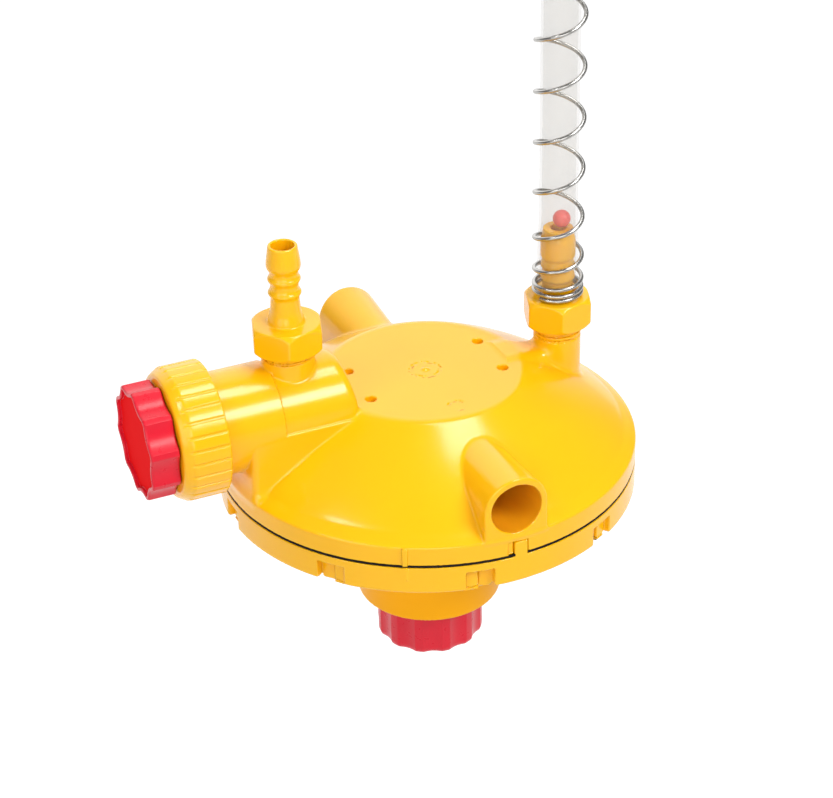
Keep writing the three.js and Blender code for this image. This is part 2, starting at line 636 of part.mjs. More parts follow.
node('flush_seat_ring', ringX(6, CARTRIDGE_BORE_R - GAP, SEAT_RING_X - 2.6, SEAT_RING_X, 28), white);
node('flush_washer', ringX(2.4, 8, PLUG_FACE_X - 1.8, PLUG_FACE_X), rubber);
node('flush_plug', revolveX([
  [0, -73.2], [2.1, -73.2], [2.1, PLUG_FACE_X - 4.4], [8.2, PLUG_FACE_X - 4.4], [8.2, PLUG_FACE_X - 2.1],
  [2.1, PLUG_FACE_X - 2.1], [2.1, PLUG_FACE_X - 0.2], [0, PLUG_FACE_X - 0.2],
], SMALL_ROUND), white);
node('flush_bonnet', flushBonnet(), yellow);
node('bonnet_o_ring', oRingX(12.9, 1.5, -79.9), rubber);
node('flush_spindle', flushSpindle(), white);
node('spindle_o_ring', oRingX(4.68, 0.7, -85.2), rubber);
node('union_nut', unionNut(), yellow);
node('flush_knob', flushKnob(), red);

// ---------------------------------------------------------------- hose tail on the inlet

function hoseTail() {
  const hexLow = 36.5;
  const hexHigh = 46.5;
  const hex = hexagon(TAIL_HEX_R, hexLow, hexHigh, TAIL_X);
  const barbs = revolve([
    [0, hexHigh - 1], [6.4, hexHigh - 1], [6.4, hexHigh + 0.4], [5.1, 51.5], [4.8, 56.2], [5.85, 57.8], [4.75, 60],
    [5.87, 62.9], [4.9, 65.6], [5.86, 67.2], [5.86, 69.4], [5, 75.4], [0, 75.4],
  ], SEEN_ROUND - 4).translate([TAIL_X, 0, 0]);
  const cavity = barZ(9.5, hexLow - 1, 43.2, TAIL_X, 0, SMALL_ROUND);
  return cut(union(hex, barbs), cavity, barZ(4, 40, 80, TAIL_X));
}

node('hose_tail', hoseTail(), yellow);
node('hose_tail_washer', ringZ(4.2, 8.4, 41.3, 42.9).translate([TAIL_X, 0, 0]), rubber);

// ---------------------------------------------------------------- sight tube and its fitting

const TUBE_HEX_LOW = 22;
const TUBE_HEX_HIGH = 32.9;
const BARB_TOP_Z = 59.4;
const MOUTH_R = 2.6;

function tubeFitting() {
  const hex = hexagon(TUBE_HEX_R, TUBE_HEX_LOW, TUBE_HEX_HIGH, TUBE_X);
  const barbs = revolve([
    [0, TUBE_HEX_HIGH - 1], [5.4, TUBE_HEX_HIGH - 1], [5.4, 39.4], [6.2, 40], [5.4, 43.4],
    [6.2, 44.6], [5.4, 48], [6.2, 48.4], [6.2, 55.2], [5.5, 57.4], [5.2, BARB_TOP_Z], [0, BARB_TOP_Z],
  ], SEEN_ROUND - 4).translate([TUBE_X, 0, 0]);
  const cavity = barZ(8.1, TUBE_HEX_LOW - 1, 28.9, TUBE_X, 0, SMALL_ROUND);
  return cut(union(hex, barbs), cavity, barZ(MOUTH_R, 20, 80, TUBE_X));
}

// The bore steps out over the barbs, so the soft wall bulges there.
function sightTube() {
  return revolve(closedProfile([
    [6.55, 37.6], [TUBE_BULGE_R, 37.6], [TUBE_BULGE_R, 53.6], [TUBE_R, 63], [TUBE_R, TUBE_TOP_Z],
    [TUBE_BORE_R, TUBE_TOP_Z], [TUBE_BORE_R, 62.4], [6.55, 54],
  ]), SEEN_ROUND).translate([TUBE_X, 0, 0]);
}

const CAP_FLANGE_Z = TUBE_TOP_Z - 4;
const COIL_TOP_Z = CAP_FLANGE_Z - COIL_WIRE_R - GAP;
const COIL_CLOSE_PITCH = 1.8;
const COIL_TURNS = 18.1;
const COIL_START = -162;

// Close turns at the foot open out to the even run, with one close turn again at the head.
function coilHeights() {
  const steps = 400;
  const heights = [0];
  for (let i = 1; i <= steps; i += 1) {
    const turn = (i / steps) * COIL_TURNS;
    const opening = THREE.MathUtils.smoothstep(turn, 1.2, 5);
    const closing = 1 - THREE.MathUtils.smoothstep(turn, COIL_TURNS - 2.4, COIL_TURNS - 1);
    const pitch = COIL_CLOSE_PITCH + (COIL_PITCH - COIL_CLOSE_PITCH) * opening * closing;
    heights.push(heights[i - 1] + (pitch * COIL_TURNS) / steps);
  }
  return (turn) => {
    const place = THREE.MathUtils.clamp((turn / COIL_TURNS) * steps, 0, steps);
    const low = Math.min(Math.floor(place), steps - 1);
    return heights[low] + (heights[low + 1] - heights[low]) * (place - low);
  };
}

function tubeSpring() {
  return coil(COIL_R, COIL_WIRE_R, coilHeights(), COIL_TURNS, 10, 4)
    .rotate([0, 0, COIL_START]).translate([TUBE_X, 0, COIL_BOTTOM_Z]);
}

function breatherCap() {
  const profile = [
    [0, CAP_FLANGE_Z - 8], [TUBE_BORE_R - GAP, CAP_FLANGE_Z - 8], [TUBE_BORE_R - GAP, TUBE_TOP_Z + GAP],
    [TUBE_R + GAP, TUBE_TOP_Z + GAP], [TUBE_R + GAP, CAP_FLANGE_Z], [9.6, CAP_FLANGE_Z], [9.6, CAP_FLANGE_Z + 1.6],
    [8.6, CAP_FLANGE_Z + 2.2], [8.6, TUBE_TOP_Z + 3.6], [7.4, TUBE_TOP_Z + 5], [0, TUBE_TOP_Z + 5],
  ];
  return cut(revolve(profile, SEEN_ROUND), barZ(1.2, CAP_FLANGE_Z - 10, TUBE_TOP_Z + 8, 0, 0, 12))
    .translate([TUBE_X, 0, 0]);
}

function floatBall() {
  const restZ = BARB_TOP_Z + Math.sqrt(BALL_R ** 2 - (MOUTH_R - BALL_ASIDE) ** 2) + FINE_GAP;
  return solid(new THREE.IcosahedronGeometry(BALL_R, 2)).translate([TUBE_X + BALL_ASIDE, 0, restZ]);
}

node('tube_fitting', tubeFitting(), yellow);
node('tube_fitting_washer', ringZ(3.2, 6.8, 27.3, 28.6).translate([TUBE_X, 0, 0]), rubber);
node('sight_tube', sightTube(), clear);
node('tube_spring', tubeSpring(), steel);
node('breather_cap', breatherCap(), red);
node('float_ball', floatBall(), red);

// ---------------------------------------------------------------- pressure adjuster

function springSeat() {
  return revolve([
    [0, SEAT_TOP_Z - 2.4], [15.5, SEAT_TOP_Z - 2.4], [15.5, SEAT_TOP_Z + 1.4], [14.2, SEAT_TOP_Z + 1.4],
    [14, SEAT_TOP_Z], [9.5, SEAT_TOP_Z], [9, SEAT_TOP_Z + 3.5], [0, SEAT_TOP_Z + 3.5],
  ], SEEN_ROUND);
}

function adjustingSpring() {
  const wireR = 0.9;
  const low = SEAT_TOP_Z + GAP + wireR;
  const high = DIAPHRAGM_CENTRE_Z - 1.3 - 2.6 - GAP - wireR;
  const turns = 5.5;
  return coil(12, wireR, (turn) => low + ((high - low) * turn) / turns, turns, 12, 4);
}

function adjustingScrew() {
  const high = SEAT_TOP_Z - 2.4 - GAP;
  return revolve([
    [0, ADJUST_KNOB_TOP_Z - 9], [4, ADJUST_KNOB_TOP_Z - 9], [4, ADJUST_KNOB_TOP_Z + GAP],
    [SCREW_R, ADJUST_KNOB_TOP_Z + GAP], [SCREW_R, high - 1], [SCREW_R - 1, high], [0, high],
  ], SMALL_ROUND);
}

function adjustingKnob() {
  const outline = lobedOutline(ADJUST_KNOB_R, 0.9, ADJUST_KNOB_LOBES, 0, 4);
  const grip = pushZ(outline, ADJUST_KNOB_BOTTOM_Z, ADJUST_KNOB_TOP_Z).rotate([0, 0, 24]);
  const rounded = revolve([
    [0, ADJUST_KNOB_BOTTOM_Z], [ADJUST_KNOB_R - 2.2, ADJUST_KNOB_BOTTOM_Z],
    [ADJUST_KNOB_R - 0.7, ADJUST_KNOB_BOTTOM_Z + 0.7], [ADJUST_KNOB_R + 0.2, ADJUST_KNOB_BOTTOM_Z + 2.2],
    [ADJUST_KNOB_R + 0.2, ADJUST_KNOB_TOP_Z], [0, ADJUST_KNOB_TOP_Z],
  ], 36);
  const socket = barZ(4.3, ADJUST_KNOB_TOP_Z - 9.3, ADJUST_KNOB_TOP_Z + 1);
  return cut(grip.intersect(rounded), socket);
}

node('spring_seat', springSeat(), white);
node('adjusting_spring', adjustingSpring(), steel);
node('adjusting_screw', adjustingScrew(), red);
node('adjusting_knob', adjustingKnob(), red);

export default root;
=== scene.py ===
import json
import math

import bpy
import numpy as np
from mathutils import Matrix, Vector


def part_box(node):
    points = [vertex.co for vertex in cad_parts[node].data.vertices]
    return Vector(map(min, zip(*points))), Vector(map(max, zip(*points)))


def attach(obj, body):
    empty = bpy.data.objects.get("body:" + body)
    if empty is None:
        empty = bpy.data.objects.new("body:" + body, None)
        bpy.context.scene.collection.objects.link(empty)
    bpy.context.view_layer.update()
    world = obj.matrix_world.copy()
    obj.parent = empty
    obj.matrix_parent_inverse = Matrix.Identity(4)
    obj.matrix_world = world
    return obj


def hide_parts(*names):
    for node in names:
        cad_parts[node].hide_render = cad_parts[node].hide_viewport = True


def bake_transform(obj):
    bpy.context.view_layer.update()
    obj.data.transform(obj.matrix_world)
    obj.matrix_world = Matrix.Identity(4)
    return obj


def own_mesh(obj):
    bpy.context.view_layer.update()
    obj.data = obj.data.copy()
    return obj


# Looks for a drinker line water regulator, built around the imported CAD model.
# Lengths are in millimetres until a mesh is made. +Z is up, +X towards the sight tube, -X towards the inlet,
# and both outlets are on Y.

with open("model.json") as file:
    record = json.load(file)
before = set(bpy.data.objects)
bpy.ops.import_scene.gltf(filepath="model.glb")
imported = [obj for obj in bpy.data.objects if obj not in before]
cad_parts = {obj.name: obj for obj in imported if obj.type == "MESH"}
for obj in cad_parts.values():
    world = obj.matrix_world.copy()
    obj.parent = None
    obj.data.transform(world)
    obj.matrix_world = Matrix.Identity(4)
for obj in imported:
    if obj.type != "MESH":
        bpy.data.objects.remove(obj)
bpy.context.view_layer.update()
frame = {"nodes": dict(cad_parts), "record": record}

MM = 0.001


def cad_mm(node):
    """Lowest and highest corner of a CAD node, in millimetres."""
    low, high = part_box(node)
    return np.array(low) / MM, np.array(high) / MM


# ---------------------------------------------------------------- driving dimensions

tail_low, tail_high = cad_mm("hose_tail")
tube_low, tube_high = cad_mm("sight_tube")
nut_low, nut_high = cad_mm("union_nut")
flush_low, flush_high = cad_mm("flush_knob")
knob_low, knob_high = cad_mm("adjusting_knob")
ball_low, ball_high = cad_mm("float_ball")
fitting_low, fitting_high = cad_mm("tube_fitting")
cap_low, cap_high = cad_mm("breather_cap")
coil_low, coil_high = cad_mm("tube_spring")
spindle_low, spindle_high = cad_mm("flush_spindle")
screw_low, screw_high = cad_mm("adjusting_screw")
spring_low, spring_high = cad_mm("adjusting_spring")

# Covers.
BODY_R = 74.8
SEAM_Z = -18.4
SEAM_HALF = 0.5
FLAT_Z = 14.7
SLOPE_R = 35.5
SLOPE_Z = 14.65
SHOULDER_R = 68.5
FOOT_R = 71.8
FOOT_Z = -8.9
WALL = 3.0
CHAMBER_R = 65.0
BEAD_R = 68.5
BEAD_HALF = 1.5
BAND_BOTTOM_Z = -29.0
NECK_R = 26.3
NECK_BOTTOM_Z = cad_mm("lower_cover")[0][2]
NECK_INNER_R = 23.0
BULKHEAD_TOP_Z = -52.0
SCREW_HOLE_R = 9.1
SNAP_COUNT = 9
FIRST_SNAP_ANGLE = 180
NOTCH_HALF = 5
NOTCH_R = 71.1
HOOK_R = 72.4
TONGUE_ANGLE = -89.5
INDEX_ANGLE = -119.6
INDEX_SIDES = (-0.95, 0.95)
SCREW_MARK_X = 25.3
SCREW_MARK_Y = 10.5
GATE_R = 5.2
DATE_Y = -27.3

# Outlets, inlet and necks.
OUTLET_R = 11.7
OUTLET_BORE_R = 9.2
OUTLET_BORE_END_Y = 42
OUTLET_DRAFT = 0.05
INLET_Z = (nut_low[2] + nut_high[2]) / 2
INLET_R = 18.2
INLET_SLIM_R = 17.2
INLET_STEP_X = -59.3
INLET_END_X = -31.0
TAIL_X = (tail_low[0] + tail_high[0]) / 2
TUBE_X = (tube_low[0] + tube_high[0]) / 2
TAIL_BORE_R = 4
BOSS_R = 8.5

# Fittings, nut, knobs and springs.
HEX_TURN = -107.5
TAIL_HEX_R = 13.4
TUBE_HEX_R = 12.9
TUBE_MOUTH_R = 2.6
NUT_R = nut_high[1]
NUT_GROOVE = 0.5
NUT_RIBS = 30
FLUSH_R = 20.0
FLUSH_LOBES = 10
KNOB_R = 19.7
KNOB_LOBES = 12
COIL_R = 8.45
COIL_WIRE_R = 0.8
COIL_TURNS = 18.1
COIL_CLOSE_PITCH = 1.8
COIL_PITCH = 18.9
COIL_START = -162
SPRING_R = 12
SPRING_WIRE_R = 0.9
SPRING_TURNS = 5.5

# ---------------------------------------------------------------- distance fields

# A field takes points as an (n, 3) array and gives each one's distance to a surface, negative inside.


def join(a, b, soft=0.0):
    """Union of two fields. soft is the width of the fillet between them."""
    if np.all(soft == 0):
        return np.minimum(a, b)
    share = np.maximum(soft - np.abs(a - b), 0) / soft
    return np.minimum(a, b) - share * share * soft / 4


def common(a, b, soft=0.0):
    """Intersection of two fields, with its edge rounded by soft."""
    return -join(-a, -b, soft)


def cut(a, b, soft=0.0):
    return common(a, -b, soft)


def turned(p, degrees):
    """Radial and sideways coordinates in a frame turned about Z."""
    angle = math.radians(degrees)
    x, y = p[:, 0], p[:, 1]
    return x * math.cos(angle) + y * math.sin(angle), y * math.cos(angle) - x * math.sin(angle)


def between(value, low, high):
    """Distance to the slab between two values."""
    return np.abs(value - (low + high) / 2) - (high - low) / 2


def block(p, degrees, radial, sideways, heights, soft=0.3):
    """A box turned about Z."""
    out, side = turned(p, degrees)
    flat = common(between(out, *radial), between(side, *sideways), soft)
    return common(flat, between(p[:, 2], *heights), soft)


def rod_z(p, radius, low, high, x):
    """A round bar along Z."""
    return common(np.hypot(p[:, 0] - x, p[:, 1]) - radius, between(p[:, 2], low, high), 0.3)


def rod_x(p, radius, low, high, z=INLET_Z):
    """A round bar along X."""
    return common(np.hypot(p[:, 1], p[:, 2] - z) - radius, between(p[:, 0], low, high), 0.3)


# ---------------------------------------------------------------- surface mesher

BLOCK = 8
CORNERS = np.array([(i, j, k) for i in (0, 1) for j in (0, 1) for k in (0, 1)])
EDGES = [
    (a, b) for a in range(8) for b in range(a + 1, 8)
    if np.abs(CORNERS[a] - CORNERS[b]).sum() == 1
]


def crossed_cells(field, low, counts, step):
    """Grid cells that the surface crosses, with the field at their corners. Blocks far from it are skipped."""
    blocks = np.stack(np.meshgrid(*[np.arange(n) for n in counts], indexing="ij"), -1)
    starts = blocks.reshape(-1, 3) * BLOCK
    reach = 0.85 * math.sqrt(3) * BLOCK * step
    starts = starts[np.abs(field(low + (starts + BLOCK / 2) * step)) < reach]
    steps = np.arange(BLOCK + 1)
    offsets = np.stack(np.meshgrid(steps, steps, steps, indexing="ij"), -1)
    cells, corner_values = [], []
    for chunk in np.array_split(starts, max(1, len(starts) // 300)):
        grid = chunk[:, None, None, None, :] + offsets
        values = field((low + grid * step).reshape(-1, 3)).reshape(grid.shape[:-1])
        corners = np.stack(
            [values[:, i:i + BLOCK, j:j + BLOCK, k:k + BLOCK] for i, j, k in CORNERS], -1
        )
        inside = corners < 0
        crossed = inside.any(-1) & ~inside.all(-1)
        cells.append(grid[:, :BLOCK, :BLOCK, :BLOCK][crossed])
        corner_values.append(corners[crossed])
    return np.concatenate(cells), np.concatenate(corner_values)


def net_vertices(cells, values, low, step):
    """One vertex in each crossed cell, at the mean of its edges' crossings."""
    total = np.zeros((len(cells), 3))
    count = np.zeros((len(cells), 1))
    for a, b in EDGES:
        crossing = ((values[:, a] < 0) != (values[:, b] < 0))[:, None]
        share = np.where(crossing[:, 0], values[:, a] / (values[:, a] - values[:, b] + 1e-12), 0)[:, None]
        total += np.where(crossing, CORNERS[a] + share * (CORNERS[b] - CORNERS[a]), 0)
        count += crossing
    return low + (cells + total / count) * step


def net_quads(cells, values, counts):
    """A quad round each grid edge that the surface crosses."""
    size = counts * BLOCK + 1
    key = (cells[:, 0] * size[1] + cells[:, 1]) * size[2] + cells[:, 2]
    order = np.argsort(key)
    ordered = key[order]
    strides = (size[1] * size[2], size[2], 1)
    quads = []
    for axis, corner in enumerate((4, 2, 1)):
        inside = values[:, 0] < 0
        owner = np.nonzero(inside != (values[:, corner] < 0))[0]
        u, v = strides[(axis + 1) % 3], strides[(axis + 2) % 3]
        ring = [key[owner], key[owner] - u, key[owner] - u - v, key[owner] - v]
        found = np.stack([order[np.searchsorted(ordered, k)] for k in ring], -1)
        outward = inside[owner]
        quads.append(found[outward])
        quads.append(found[~outward][:, ::-1])
    return np.concatenate(quads)


def slope(field, points, reach=0.02):
    """The field's gradient."""
    return np.stack(
        [(field(points + step) - field(points - step)) / (2 * reach) for step in reach * np.eye(3)], -1
    )


def settle(field, points, limit, rounds=3):
    """Moves points onto the surface, by no more than limit in a round."""
    for _ in range(rounds):
        gradient = slope(field, points)
        square = np.maximum((gradient ** 2).sum(-1), 0.2)
        move = -(field(points) / square)[:, None] * gradient
        length = np.linalg.norm(move, axis=-1, keepdims=True)
        points = points + move * np.minimum(1, limit / np.maximum(length, 1e-9))
    return points


def moulded(name, field, low, high, step, keep):
    """A closed mesh of the surface field = 0, thinned to the share keep, with its normals from the field."""
    step = step * 1
    low = np.array(low, float) - 0.13 * step
    counts = np.ceil((np.array(high) - low) / (BLOCK * step)).astype(int)
    cells, values = crossed_cells(field, low, counts, step)
    points = settle(field, net_vertices(cells, values, low, step), step / 3, 2)
    piece = add_mesh(name, points, net_quads(cells, values, counts).tolist())
    thin = piece.modifiers.new("thin", "DECIMATE")
    thin.ratio = keep
    finished = bpy.data.meshes.new_from_object(piece.evaluated_get(bpy.context.evaluated_depsgraph_get()))
    piece.modifiers.clear()
    piece.data = finished
    finished.name = name
    points = np.empty(len(finished.vertices) * 3, np.float32)
    finished.vertices.foreach_get("co", points)
    points = settle(field, points.reshape(-1, 3).astype(float) / MM, step / 6, 2)
    finished.vertices.foreach_set("co", (points * MM).astype(np.float32).ravel())
    normals = slope(field, points)
    normals /= np.maximum(np.linalg.norm(normals, axis=-1, keepdims=True), 1e-9)
    finished.shade_smooth()
    finished.normals_split_custom_set_from_vertices(normals.tolist())
    return piece


def add_mesh(name, points, faces):
    """An object at the origin from points in millimetres."""
    mesh = bpy.data.meshes.new(name)
    mesh.from_pydata((np.asarray(points) * MM).tolist(), [], faces)
    mesh.validate()
    piece = bpy.data.objects.new(name, mesh)
    bpy.context.scene.collection.objects.link(piece)
    return piece


# ---------------------------------------------------------------- turned and drawn pieces


def rounded(profile, radius, steps=5):
    """A profile of [radius, height] points with its inner corners rounded."""
    points = [np.array(profile[0], float)]
    for before, corner, after in zip(profile, profile[1:], profile[2:]):
        before, corner, after = (np.array(point, float) for point in (before, corner, after))
        back, ahead = before - corner, after - corner
        reach = min(radius, 0.45 * np.linalg.norm(back), 0.45 * np.linalg.norm(ahead))
        start = corner + back / np.linalg.norm(back) * reach
        end = corner + ahead / np.linalg.norm(ahead) * reach
        for share in np.linspace(0, 1, steps + 1):
            points.append((1 - share) ** 2 * start + 2 * share * (1 - share) * corner + share ** 2 * end)
    points.append(np.array(profile[-1], float))
    return points


def lathe(name, profile, along="z", centre=(0.0, 0.0), segments=96, closed=False):
    """Turns a profile of [radius, height] about Z at an x, y centre, or about X at a y, z centre.
    An open profile starts and ends on the axis."""
    rings = [point for point in profile if point[0] > 1e-6]
    angles = np.linspace(0, 2 * math.pi, segments, endpoint=False)
    points = [(r * math.cos(a), r * math.sin(a), h) for r, h in rings for a in angles]
    faces = []
    last = len(rings) if closed else len(rings) - 1
    for ring in range(last):
        here, there = ring * segments, (ring + 1) % len(rings) * segments
        for i in range(segments):
            j = (i + 1) % segments
            faces.append((here + i, here + j, there + j, there + i))
    if not closed:
        faces.append(tuple(range(segments - 1, -1, -1)))
        faces.append(tuple(range((len(rings) - 1) * segments, len(rings) * segments)))
    points = np.array(points)
    if along == "x":
        points = points[:, [2, 1, 0]] * (1, -1, 1) + (0, centre[0], centre[1])
    else:
        points = points + (centre[0], centre[1], 0)
    piece = add_mesh(name, points, faces)
    piece.data.shade_smooth()
    piece.data.set_sharp_from_angle(angle=math.radians(40))
    return piece


def wire(name, route, radius):
    """A round wire along a route of points."""
    curve = bpy.data.curves.new(name, "CURVE")
    curve.dimensions = "3D"
    curve.bevel_depth = radius * MM
    curve.bevel_resolution = 4
    curve.use_fill_caps = True
    spline = curve.splines.new("POLY")
    spline.points.add(len(route) - 1)
    spline.points.foreach_set("co", np.column_stack([np.array(route) * MM, np.ones(len(route))]).ravel())
    spline.use_smooth = True
    drawn = bpy.data.objects.new(name, curve)
    mesh = bpy.data.meshes.new_from_object(drawn)
    bpy.data.objects.remove(drawn)
    bpy.data.curves.remove(curve)
    piece = bpy.data.objects.new(name, mesh)
    bpy.context.scene.collection.objects.link(piece)
    return piece


# ---------------------------------------------------------------- covers


def dome(r, z):
    """The dome's slope, which steepens slowly from the flat top, and faster at its shoulder."""
    start, bend, turn = 0.55, 8e-5, 0.05
    run = np.maximum(r - SLOPE_R, 0)
    rim = np.maximum(r - SHOULDER_R, 0)
    height = SLOPE_Z - start * (r - SLOPE_R) - bend * run ** 3 - turn * rim ** 2
    steep = start + 3 * bend * run ** 2 + 2 * turn * rim
    return (z - height) / np.sqrt(1 + steep ** 2)


def dome_top(r, z):
    return common(dome(r, z), z - FLAT_Z, 0.85)


def snap_frame(x, y):
    """Radial and sideways coordinates at the nearest of the nine snaps. Every second snap is mirrored."""
    step = math.radians(360 / SNAP_COUNT)
    angle = np.arctan2(y, x) - math.radians(FIRST_SNAP_ANGLE)
    index = np.round(angle / step)
    local = angle - index * step
    mirror = np.where(np.mod(np.mod(index, SNAP_COUNT), 2) == 0, -1, 1)
    r = np.hypot(x, y)
    return r * np.cos(local), r * np.sin(local) * mirror


def ease(value, low, high):
    """Runs smoothly from 0 at low to 1 at high."""
    share = np.clip((value - low) / (high - low), 0, 1)
    return share * share * (3 - 2 * share)


def inlet_body(x, y, z):
    """The inlet barrel, with a flat-sided web that joins it to the dome."""
    ring = np.hypot(y, z - INLET_Z)
    wide = common(ring - INLET_R, between(x, -88, INLET_STEP_X), 0.3)
    lean = 0.15 * (z - INLET_Z)
    slim = common(ring - INLET_SLIM_R, between(x + lean, INLET_STEP_X - 9, INLET_END_X), 4.0)
    web = common(np.abs(y) - INLET_R + 0.05, between(z, -20, INLET_Z), 0.25)
    web = common(common(web, between(x, -BODY_R, -34)), np.hypot(x, y) - BODY_R + 0.4, 2.0)
    return join(join(wide, slim), web)


def necks(p):
    """The threaded neck under the hose tail, and the sight tube's boss, each with a thin ring."""
    tail = join(rod_z(p, 9.3, 10, 33.8, TAIL_X), rod_z(p, 8.6, 10, 41, TAIL_X))
    tail = join(tail, rod_z(p, 9.2, 34.6, 35.5, TAIL_X))
    boss = join(rod_z(p, BOSS_R, -6, 17.1, TUBE_X), rod_z(p, BOSS_R - 0.5, -6, 20.5, TUBE_X))
    boss = join(boss, rod_z(p, BOSS_R + 0.1, 18, 19.3, TUBE_X))
    return tail, join(boss, rod_z(p, 7.2, -6, 27, TUBE_X))


def gusset(x, y, z):
    """The ridge that carries the flat top's level out to the sight tube's boss."""
    top = FLAT_Z - 0.3 - 0.06 * (x - 34)
    ridge = common(z - top, np.abs(y) - 6.5, 3.5)
    return common(common(ridge, between(x, 30, TUBE_X)), -z)


def outlets(x, y, z):
    """Both outlet barrels: round above the line's axis, straight-sided below it."""
    draft = OUTLET_DRAFT * (BODY_R - np.abs(y))
    side = np.where(z > 0, np.hypot(x, z), np.abs(x)) - OUTLET_R + draft
    barrel = common(side, -OUTLET_R - z, 1.0)
    return common(common(barrel, np.hypot(x, y) - BODY_R - 0.05, 0.8), 30 - np.abs(y))


def upper_bores(p):
    """The bores of the inlet, valve, hose tail and sight tube, and the four blind holes in the flat top."""
    x, y, z = p[:, 0], p[:, 1], p[:, 2]
    inlet = join(rod_x(p, 12.5, -62, -34), rod_x(p, 14, -95, -58.5))
    valve = rod_x(p, 4, -36, -28, 6.4)
    ports = join(rod_z(p, TAIL_BORE_R, INLET_Z, 45, TAIL_X), rod_z(p, 3, -8, 30, TUBE_X))
    blind = np.hypot(np.abs(x) - SCREW_MARK_X, np.abs(y) - SCREW_MARK_Y) - 2
    return join(join(inlet, valve), join(ports, common(blind, FLAT_Z - 2.4 - z)))


def upper_outside(p, cap):
    """The upper cover as one solid, with the faint rings in its flat top."""
    x, y, z = p[:, 0], p[:, 1], p[:, 2]
    r = np.hypot(x, y)
    ledge = (z - FOOT_Z + 0.27 * (r - FOOT_R)) / 1.036
    bevel = (z - FOOT_Z + 0.667 * (r - FOOT_R)) / 1.2
    shell = common(join(cap, common(ledge, bevel, 0.4), 1.0), r - BODY_R, 0.5)
    shell = join(shell, outlets(x, y, z), 1.0)
    fillet = 0.8 + 3.5 * ease(-x, 65, 72) * ease(z, FOOT_Z - 6, FOOT_Z)
    shell = join(shell, inlet_body(x, y, z), fillet)
    tail, boss = necks(p)
    shell = join(shell, tail, 0.8)
    shell = join(join(shell, gusset(x, y, z), 3.0), boss, 2.0)
    index_rib = block(p, INDEX_ANGLE, (70, BODY_R + 0.9), INDEX_SIDES, (SEAM_Z - 0.3, FOOT_Z - 2), 0.15)
    shell = join(shell, index_rib)
    rings = join(np.abs(r - GATE_R) - 0.5, np.abs(np.hypot(x, y - DATE_Y) - 3) - 0.4)
    shell = cut(shell, common(rings, FLAT_Z - 0.15 - z), 0.2)
    gate_mark = np.hypot(r, (z - FLAT_Z) * 2) - 1.3
    shell = join(shell, common(gate_mark, -z), 0.6)
    return common(shell, SEAM_Z + SEAM_HALF - z, 0.3)


def upper_cover(p):
    """The dome, hollowed and bored, with the tongue's pocket and the hooks of the nine snaps."""
    x, y, z = p[:, 0], p[:, 1], p[:, 2]
    r = np.hypot(x, y)
    cap = dome_top(r, z)
    shell = upper_outside(p, cap)
    inlet_wall = rod_x(p, 15.5, -90, INLET_END_X)
    outlet_wall = common(np.hypot(x, z) - OUTLET_R, 50 - np.abs(y))
    hollow = common(common(cap + WALL, r - CHAMBER_R, 1.0), SEAM_Z - 2 - z)
    shell = cut(shell, cut(cut(hollow, inlet_wall), outlet_wall), 0.3)
    bore = common(np.hypot(x, z) - OUTLET_BORE_R, OUTLET_BORE_END_Y - np.abs(y))
    shell = cut(cut(shell, bore, 0.6), upper_bores(p), 0.3)
    shell = cut(shell, common(np.abs(r - BEAD_R) - BEAD_HALF, z - SEAM_Z - 1.5), 0.2)
    pocket = block(p, TONGUE_ANGLE, (70, 80), (-1.6, 3.45), (SEAM_Z - 2, SEAM_Z + 5.35))
    shallow = block(p, TONGUE_ANGLE, (73.9, 80), (-3.95, 0), (SEAM_Z + 1, SEAM_Z + 5.6))
    shell = cut(cut(shell, pocket, 0.2), shallow, 0.3)
    out, side = snap_frame(x, y)
    hook = common(between(out, 70.4, HOOK_R), between(side, 0.25, 4.75), 0.1)
    hook = common(hook, between(z, BAND_BOTTOM_Z - 0.35, SEAM_Z + 2), 0.1)
    return join(shell, hook)


